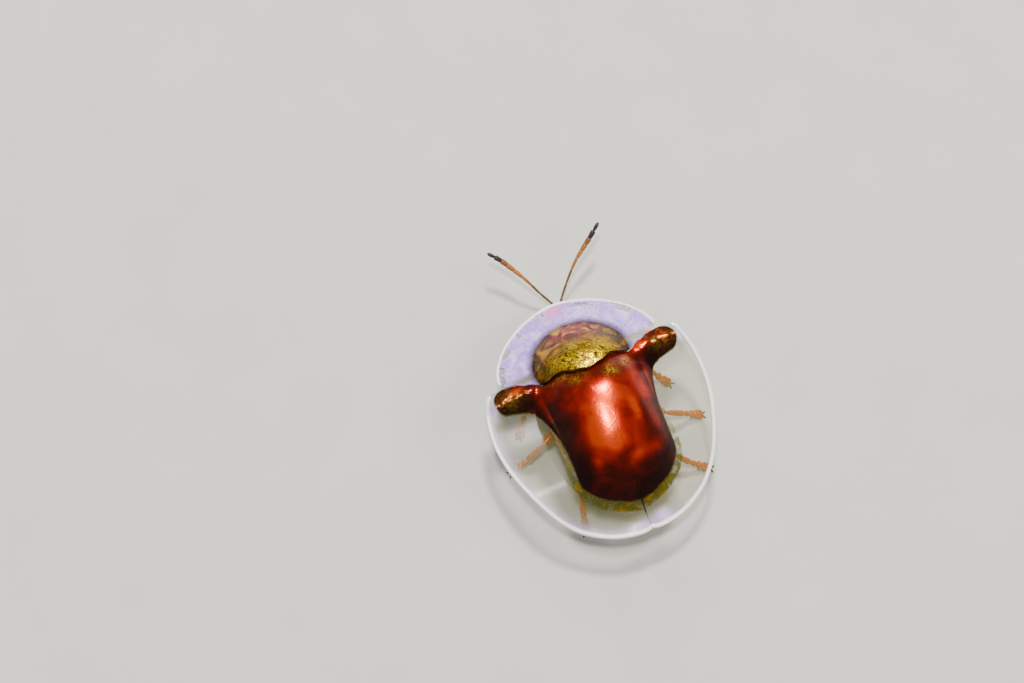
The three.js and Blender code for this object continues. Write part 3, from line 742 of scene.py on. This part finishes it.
class BEETLE_OT_collar(bpy.types.Operator):
    """The collar shield over the head, and the scutellum behind it"""

    bl_idname = "beetle.collar"
    bl_label = "Collar shield"

    def execute(self, context):
        sizes = context.scene.beetle_sizes
        edge = nearest(self.outline(400))

        def rim(side, forward):
            return edge_distance(edge, side, forward)

        def top(side, forward):
            crinkle = CRINKLE * noise.noise(Vector((side, forward, 1.1)) * CRINKLE_PITCH)
            crinkle *= smooth(0.05, 0.5, collar_foot(side, forward))
            bead = COLLAR_BEAD * (1 - smooth(0.03, 0.1, rim(side, forward)))
            return collar_top(side, forward) + bead + crinkle

        def low(side, forward):
            share = lerp(COLLAR_EDGE_SHARE, 1, smooth(0.1, 0.5, rim(side, forward)))
            return top(side, forward) - sizes.plate / MM * share

        def surface(u, v):
            side = COLLAR_HALF_WIDTH * math.sin((u - 0.5) * math.pi)
            eased = lerp(v, math.sin(v * math.pi / 2), 0.6)
            forward = lerp(collar_back(side), collar_front(side), eased)
            return at(side, forward, top(side, forward))

        bm = bmesh.new()
        plate(bm, 190, 90, surface, low)
        piece = new_piece("collar_shield", bm, collar_material(), "collar_shield", "pronotum")
        mark(piece, "disc", lambda *place: smooth(0, 0.06, collar_foot(*place)))
        mark(piece, "rim", rim)
        mark(piece, "dusk", lambda *place: 1 - smooth(0.0, 0.22, abs(collar_foot(*place))))
        mark(piece, "head", self.over_head)
        for name, table in COLLAR_SPOTS.items():
            mark(piece, name, lambda *place: min(spots(table, *place), 1))
        self.scutellum()
        return {"FINISHED"}

    @staticmethod
    def outline(count):
        """Points along the free edge, closer together at the sides."""
        sides = [COLLAR_HALF_WIDTH * math.sin((i / count - 0.5) * math.pi) for i in range(count + 1)]
        return [Vector((side, collar_front(side))) for side in sides]

    @staticmethod
    def over_head(side, forward):
        """Strength of the brown front of the disc, where the head lies beneath."""
        return smooth(3.3, 3.8, forward) * (1 - smooth(0.6, 1.0, abs(side + 0.1)))

    @staticmethod
    def scutellum():
        """A small triangular plate with soft edges."""
        bm = bmesh.new()
        made = bmesh.ops.create_circle(bm, cap_ends=True, segments=3, radius=SCUTELLUM_RADIUS)
        bmesh.ops.translate(bm, vec=at(*SCUTELLUM_PLACE), verts=made["verts"])
        grown = bmesh.ops.extrude_face_region(bm, geom=bm.faces[:], use_keep_orig=True)
        lifted = [element for element in grown["geom"] if isinstance(element, bmesh.types.BMVert)]
        bmesh.ops.translate(bm, vec=Vector((0, 0, SCUTELLUM_THICKNESS)), verts=lifted)
        bmesh.ops.bevel(
            bm, geom=bm.edges[:], offset=0.03, segments=3, profile=0.5, affect="EDGES", material=-1)
        bmesh.ops.recalc_face_normals(bm, faces=bm.faces)
        material = cuticle_material("Scutellum cuticle", linear(0x5A1606), linear(0x3A0C04), 0.06, 0.3)
        new_piece("scutellum_plate", bm, material, "wing_case", "scutellum")


# Trunk: room under the shields, the belly's height and rise to the sides, its grooves and its keel
COLLAR_ROOM, WING_ROOM, LEAST_DEPTH = 0.22, 0.26, 0.25
BELLY_HEIGHT, BELLY_RISE = 1.0, 0.35
GROOVE_DEPTH, GROOVE_SPREAD, KEEL_DEPTH, KEEL_SPREAD = 0.05, 0.05, 0.06, 0.25


class BEETLE_OT_trunk(bpy.types.Operator):
    """Prothorax, thorax and abdomen, with their plates and joints underneath"""

    bl_idname = "beetle.trunk"
    bl_label = "Trunk"

    def execute(self, context):
        material = cuticle_material("Sternite cuticle, amber", linear(0xB8762A), linear(0x6E3A10), 0.08, 0.35)
        self.block("prothorax", 1.5, self.neckward, lambda side: base_line(side) + 0.06, lambda side: 4.2,
                   collar_top, COLLAR_ROOM, (3.55, 3.05), material)
        self.block("thorax", 1.75, lambda v: 1, lambda side: 0.98, base_line, wing_case_top, WING_ROOM,
                   (1.9, 1.3), material)
        self.block("abdomen", 1.75, self.tailward, lambda side: -2.2, lambda side: 0.94,
                   wing_case_top, WING_ROOM, (0.1, -0.5, -1.0, -1.5), material)
        return {"FINISHED"}

    @staticmethod
    def neckward(v):
        """Share of the prothorax's width, which halves towards the head."""
        return lerp(1.0, 0.5, smooth(0.2, 1, v))

    @staticmethod
    def tailward(v):
        """Share of the abdomen's width, which rounds off towards the tail."""
        return math.sqrt(max(1 - (0.97 * (1 - v)) ** 2.6, 0))

    @staticmethod
    def block(name, half_width, taper, back, front, shield, room, grooves, material):
        """One trunk piece, from back(side) to front(side), with some room under a shield's top."""
        def roof(side, forward):
            return shield(side, forward) - room

        def surface(u, v):
            side = half_width * taper(v) * math.sin((u - 0.5) * math.pi)
            forward = lerp(back(side), front(side), v)
            return at(side, forward, roof(side, forward))

        def belly(side, forward):
            cut = sum(GROOVE_DEPTH * math.exp(-(((forward - g) / GROOVE_SPREAD) ** 2)) for g in grooves)
            keel = KEEL_DEPTH * math.exp(-((side / KEEL_SPREAD) ** 2))
            height = BELLY_HEIGHT + BELLY_RISE * smooth(1.0, 1.75, abs(side)) + cut - keel
            return min(height, roof(side, forward) - LEAST_DEPTH)

        bm = bmesh.new()
        plate(bm, 60, 60, surface, belly)
        piece = new_piece(name + "_plates", bm, material, "body", name)
        bevel = piece.modifiers.new("Soft edges", "BEVEL")
        bevel.width = 0.06 * MM
        bevel.segments = 2


# Head, as in the solids
HEAD_SIDE, HEAD_FORWARD, HEAD_HEIGHT = -0.3, 4.5, 0.54
HEAD_SIZES = (0.62, 0.5, 0.42)
EYE_APART, EYE_FORWARD, EYE_HEIGHT = 0.5, 4.6, 0.55
# Lumps fused to it: place, half sizes, and faces across and down. The neck is sunk in the prothorax.
NECK = (0.06, 4.12, 0.92), (0.4, 0.36, 0.32), 32, 20
MUZZLE = (0, 4.86, 0.3), (0.26, 0.14, 0.12), 32, 20
UPPER_LIP = (0, 4.9, 0.2), (0.2, 0.09, 0.07), 32, 16
SOCKET_APART, SOCKET_SIZES = 0.11, (0.085, 0.06, 0.085)
BROW_DEPTH, HEAD_ROOM = 0.035, 0.2
JAW = (0.22, 4.74, 0.3), (0.2, 4.88, 0.16), (0.03, 4.9, 0.1)
JAW_RADIUS = 0.075
PALP = (0.26, 4.6, 0.26), (0.34, 4.7, 0.17), (0.33, 4.82, 0.1), (0.26, 4.92, 0.06)
PALP_RADIUS = 0.04


def on_head(side, forward, height):
    return at(HEAD_SIDE + side, forward, height)


class BEETLE_OT_head(bpy.types.Operator):
    """The head capsule with its brow, upper lip, jaws and palps, and the two eyes"""

    bl_idname = "beetle.head"
    bl_label = "Head"

    def execute(self, context):
        bm = bmesh.new()
        for vert in blob(bm, on_head(0, HEAD_FORWARD, HEAD_HEIGHT), HEAD_SIZES, 64, 40):
            side, forward = vert.co.x - HEAD_SIDE, TAIL_Y - vert.co.y
            groove = math.exp(-((side / 0.04) ** 2))
            ridges = 0.8 * math.exp(-(((abs(side) - 0.14) / 0.08) ** 2))
            vert.co.y += BROW_DEPTH * smooth(HEAD_FORWARD, 5.0, forward) * (groove - ridges)
            roof = collar_top(vert.co.x, forward) - HEAD_ROOM
            vert.co.z = min(vert.co.z, roof)
        for place, *lump in (NECK, MUZZLE, UPPER_LIP):
            blob(bm, on_head(*place), *lump)
        for sign in (-1, 1):
            blob(bm, on_head(sign * SOCKET_APART, 4.93, 0.5), SOCKET_SIZES, 20, 14)
            self.jaw(bm, sign)
            self.palp(bm, sign)
        material = cuticle_material("Head cuticle, tan", linear(0xC07A2C), linear(0x8A4A18), 0.05, 0.35)
        new_piece("head_capsule", bm, material, "body", "head")
        eye = context.scene.beetle_sizes.eye / MM
        facets = eye_material()
        for name, sign in (("eye_left", 1), ("eye_right", -1)):
            bm = bmesh.new()
            centre = on_head(sign * EYE_APART, EYE_FORWARD, EYE_HEIGHT)
            blob(bm, centre, (0.7 * eye, eye, 1.15 * eye), 48, 32)
            new_piece(name + "_facets", bm, facets, "eye", name)
        return {"FINISHED"}

    @staticmethod
    def jaw(bm, sign):
        curve = catmull([on_head(sign * side, forward, height) for side, forward, height in JAW])
        tube(bm, along_curve(curve), lambda t: JAW_RADIUS * (1 - t**3) ** 0.5, 14, 12)

    @staticmethod
    def palp(bm, sign):
        knots = [on_head(sign * side, forward, height) for side, forward, height in PALP]
        for start, end in zip(knots, knots[1:]):
            tube(bm, between(start, end), barrel(PALP_RADIUS, 0.7), 12, 10)


# Feelers: the share of the length that each joint takes, and the paths
FEELER_JOINTS = (0.15, 0.06, 0.09, 0.105, 0.105, 0.095, 0.08, 0.075, 0.075, 0.075, 0.09)
SPINDLE = (0.6, 0.8, 0.95, 1.0, 0.95, 0.72)  # swelling of the last joints, as a share of the club's
JOINT_OVERLAP = 0.014
FEELER_PATHS = {
    "antenna_left": (
        (-0.17, 4.96, 0.5), (-0.2, 5.3, 0.42), (-0.17, 5.5, 0.45), (0.1, 5.96, 0.65),
        (0.37, 6.43, 0.95), (0.68, 6.95, 1.1), (0.93, 7.33, 1.2), (1.25, 7.69, 1.3)),
    "antenna_right": (
        (-0.42, 4.96, 0.5), (-0.46, 5.3, 0.42), (-0.52, 5.5, 0.45), (-0.92, 5.95, 0.68),
        (-1.37, 6.37, 1.0), (-1.78, 6.66, 1.17), (-2.13, 6.89, 1.3), (-2.56, 7.2, 1.5)),
}


class BEETLE_OT_feelers(bpy.types.Operator):
    """The two feelers, eleven joints each, thickening to a club"""

    bl_idname = "beetle.feelers"
    bl_label = "Feelers"

    def execute(self, context):
        sizes = context.scene.beetle_sizes
        thin, club = sizes.feeler / MM, sizes.club / MM
        material = feeler_material()
        for name, points in FEELER_PATHS.items():
            curve = catmull([at(*p) for p in points], 24)
            bm = bmesh.new()
            layer = bm.verts.layers.float.new("joint")
            reached = 0.0
            for i, share in enumerate(FEELER_JOINTS):
                start, reached = reached, reached + share
                self.joint(bm, curve, start, min(reached + JOINT_OVERLAP, 1.0), i, thin, club)
                for vert in bm.verts:
                    if vert[layer] == 0.0:
                        vert[layer] = (i + 0.5) / len(FEELER_JOINTS)
            new_piece(name.replace("antenna", "feeler"), bm, material, "feeler", name)
        return {"FINISHED"}

    @staticmethod
    def joint(bm, curve, start, end, number, thin, club):
        def path(t):
            place = lerp(start, end, t) * (len(curve) - 1)
            low = min(int(place), len(curve) - 2)
            return curve[low].lerp(curve[low + 1], place - low)

        def width(t):
            flare = 1.0 if number < 2 else lerp(0.86, 1.0, smooth(0, 0.8, t))
            return radius * flare * round_ends(t, 2.2 if last else 8)

        base = thin * 1.5 if number == 0 else thin
        swollen = number - (len(FEELER_JOINTS) - len(SPINDLE))
        radius = base if swollen < 0 else SPINDLE[swollen] * club
        last = number == len(FEELER_JOINTS) - 1
        tube(bm, path, width, 18, 12)


# Legs: hip, knee, ankle and toe, in beetle terms
LEG_PATHS = {
    "leg_front_left": ((0.5, 3.3, 0.72), (1.6, 2.85, 0.82), (2.2, 2.3, 0.4), (2.62, 1.75, 0.06)),
    "leg_front_right": ((-0.5, 3.3, 0.72), (-1.6, 2.75, 0.82), (-2.25, 2.1, 0.4), (-2.75, 1.5, 0.06)),
    "leg_middle_left": ((0.85, 1.7, 0.72), (2.15, 1.0, 0.84), (2.75, 0.84, 0.42), (3.35, 0.74, 0.06)),
    "leg_middle_right": ((-0.85, 1.5, 0.72), (-2.1, 0.45, 0.84), (-2.68, 0.32, 0.42), (-3.3, 0.13, 0.06)),
    "leg_hind_left": ((0.85, 0.3, 0.72), (1.6, -0.95, 0.8), (1.74, -1.5, 0.42), (1.88, -2.1, 0.06)),
    "leg_hind_right": ((-0.85, 0.3, 0.72), (-1.75, -0.95, 0.8), (-2.2, -1.3, 0.42), (-2.8, -1.66, 0.06)),
}


# The limb's own sizes; a foot's knots are shares of the way from ankle to toe
HIP_SIZES, HIP_RAISED = (0.26, 0.22, 0.2), 0.12
SHIN_AT_KNEE, SHIN_AT_ANKLE = 0.075, 0.115
FOOT_KNOTS = (0.0, 0.27, 0.52, 0.8, 1.0)
FOOT_WIDTHS = (0.1, 0.13, 0.15)
CLAW_RADIUS, CLAW_TIP_HEIGHT = 0.024, 0.012


def foot_directions(ankle, toe):
    """Directions along a foot and across it."""
    along = (toe - ankle).normalized()
    return along, along.cross(Vector((0, 0, 1))).normalized()


class BEETLE_OT_legs(bpy.types.Operator):
    """The six legs with hip, thigh, shin and padded foot, and their claws"""

    bl_idname = "beetle.legs"
    bl_label = "Legs"

    def execute(self, context):
        amber = context.scene.beetle_colours.amber
        skin = cuticle_material("Leg cuticle, amber", [*amber], linear(0x9A4006), 0.05, 0.3)
        horn = cuticle_material("Claw horn, dark", linear(0x5A2A10), linear(0x2A1208), 0.04, 0.25)
        for name, points in LEG_PATHS.items():
            hip, knee, ankle, toe = (at(*p) for p in points)
            bm = bmesh.new()
            blob(bm, hip + Vector((0, 0, HIP_RAISED)), HIP_SIZES, 24, 16)
            tube(bm, between(hip, hip.lerp(knee, 0.2)), barrel(0.15, 0.8), 16, 10)
            tube(bm, between(hip.lerp(knee, 0.12), knee), barrel(0.2, 0.45), 20, 16, barrel(0.15, 0.5))
            tube(bm, between(knee.lerp(hip, 0.02), ankle), self.shin, 18, 14)
            self.foot(bm, ankle, toe)
            new_piece(name + "_limb", bm, skin, "leg", name)
            self.claws(name, ankle, toe, horn)
        return {"FINISHED"}

    @staticmethod
    def shin(t):
        """Half width of a shin, which widens to the ankle."""
        return round_ends(t, 8) * lerp(SHIN_AT_KNEE, SHIN_AT_ANKLE, t)

    @staticmethod
    def foot(bm, ankle, toe):
        """Three short padded joints, the third split in two lobes, and a slim claw joint."""
        along, across = foot_directions(ankle, toe)
        knots = [ankle.lerp(toe, t) for t in FOOT_KNOTS]
        for start, end, width in zip(knots, knots[1:], FOOT_WIDTHS):
            tube(bm, between(start, start.lerp(end, 1.1)), barrel(width, 0.5), 18, 10, barrel(0.06, 0.7))
        for sign in (-1, 1):
            lobe = knots[3] + across * sign * 0.09 - along * 0.06
            lobe_end = lobe + along * 0.2 - Vector((0, 0, 0.02))
            tube(bm, between(lobe, lobe_end), barrel(0.075, 0.7), 14, 10, barrel(0.045, 0.7))
        claw_root = knots[3] - along * 0.08 + Vector((0, 0, 0.04))
        tube(bm, between(claw_root, toe), barrel(0.045, 0.7), 12, 10)

    @staticmethod
    def claws(name, ankle, toe, horn):
        """Two curved claws that touch the floor at their tips."""
        along, across = foot_directions(ankle, toe)
        bm = bmesh.new()
        for sign in (-1, 1):
            root = toe - along * 0.03 + across * sign * 0.015
            bend = toe + along * 0.08 + across * sign * 0.09
            tip = toe + along * 0.13 + across * sign * 0.12
            tip.z = CLAW_TIP_HEIGHT
            curve = catmull([root, bend, tip])
            tube(bm, along_curve(curve), lambda t: CLAW_RADIUS * (1 - t**2) ** 0.5 if t > 0 else 0, 10, 12)
        new_piece(name.replace("leg", "claws"), bm, horn, "leg", name)


# The floor, in millimetres, and the air's brightness
FLOOR_RADIUS = 400
AIR_STRENGTH = 0.3
# The camera, measured from a point 1.7 mm above the floor, where side and forward are 0
AIM_HEIGHT = 1.7
CAMERA_DISTANCE = 130
CAMERA_RIGHT = Vector((-0.914, 0.4021, 0.0535))
CAMERA_UP = Vector((-0.3741, -0.8865, 0.2724))
CAMERA_BACK = Vector((0.157, 0.229, 0.9607))
AIM_RIGHT, AIM_UP = -3.377, 3.269
LENS_MM, SENSOR_MM = 140.2, 36


class BEETLE_OT_stage(bpy.types.Operator):
    """A pale floor, soft studio lights and the camera"""

    bl_idname = "beetle.stage"
    bl_label = "Stage"

    def execute(self, context):
        bm = bmesh.new()
        bmesh.ops.create_circle(bm, cap_ends=True, segments=96, radius=FLOOR_RADIUS)
        floor = add_mesh("floor", bm, stage_material())
        world = bpy.data.worlds.new("Studio air")
        context.scene.world = world
        world.use_nodes = True
        air = world.node_tree.nodes["Background"]
        air.inputs["Color"].default_value = opaque(0xE8ECF2)
        air.inputs["Strength"].default_value = AIR_STRENGTH
        # Name, place from the beetle's middle, size, watts, colour, and whether the polish mirrors it
        self.light("Key softbox", Vector((0.024, 0.003, 0.30)), 0.04, 0.65, 0xFFF4F6, True)
        self.light("Foil softbox", Vector((-0.056, -0.123, 0.21)), 0.035, 0.7, 0xFFF8E8, True)
        self.light("Collar softbox", Vector((-0.038, -0.212, 0.106)), 0.10, 0.3, 0xE8E0FF, False)
        self.light("Fill softbox", Vector((-0.20, 0.10, 0.22)), 0.14, 0.5, 0xFFF2E4, False)
        self.camera(context)
        return {"FINISHED"}

    @staticmethod
    def light(name, place, size, watts, colour, mirrored):
        lamp = bpy.data.lights.new(name, "AREA")
        lamp.shape = "DISK"
        lamp.size = size
        lamp.energy = watts
        lamp.color = linear(colour)
        holder = add(name, lamp)
        holder.location = place
        holder.rotation_euler = (-place).to_track_quat("-Z", "Y").to_euler()
        holder.visible_glossy = mirrored

    @staticmethod
    def camera(context):
        seen = at(0, 0, AIM_HEIGHT)
        place = seen + CAMERA_BACK * CAMERA_DISTANCE
        target = seen + CAMERA_RIGHT * AIM_RIGHT + CAMERA_UP * AIM_UP
        back = (place - target).normalized()
        right = CAMERA_UP.cross(back).normalized()
        camera = bpy.data.cameras.new("Camera")
        camera.lens = LENS_MM
        camera.sensor_width = SENSOR_MM
        camera.clip_start = 0.001
        holder = add("Camera", camera)
        turn = Matrix((right, back.cross(right), back)).transposed().to_4x4()
        holder.matrix_world = Matrix.Translation(place * MM) @ turn
        context.scene.camera = holder


class BEETLE_PT_panel(bpy.types.Panel):
    """The beetle's sizes and colours, and its operators in the order of work"""

    bl_idname = "BEETLE_PT_panel"
    bl_label = "Tortoise Beetle"
    bl_space_type = "VIEW_3D"
    bl_region_type = "UI"
    bl_category = "Beetle"

    def draw(self, context):
        for group in (context.scene.beetle_sizes, context.scene.beetle_colours):
            for name in group.__annotations__:
                self.layout.prop(group, name)
        for operator in OPERATORS:
            self.layout.operator(operator.bl_idname)


OPERATORS = (
    BEETLE_OT_wing_cases,
    BEETLE_OT_collar,
    BEETLE_OT_trunk,
    BEETLE_OT_head,
    BEETLE_OT_feelers,
    BEETLE_OT_legs,
    BEETLE_OT_stage,
)


def register():
    for cls in (BeetleSizes, BeetleColours, *OPERATORS, BEETLE_PT_panel):
        bpy.utils.register_class(cls)
    bpy.types.Scene.beetle_sizes = bpy.props.PointerProperty(type=BeetleSizes)
    bpy.types.Scene.beetle_colours = bpy.props.PointerProperty(type=BeetleColours)


def unregister():
    del bpy.types.Scene.beetle_colours
    del bpy.types.Scene.beetle_sizes
    for cls in (BEETLE_PT_panel, *reversed(OPERATORS), BeetleColours, BeetleSizes):
        bpy.utils.unregister_class(cls)


def main():
    register()
    bpy.ops.beetle.wing_cases()
    bpy.ops.beetle.collar()
    bpy.ops.beetle.trunk()
    bpy.ops.beetle.head()
    bpy.ops.beetle.feelers()
    bpy.ops.beetle.legs()
    bpy.ops.beetle.stage()


if __name__ == "__main__":
    main()
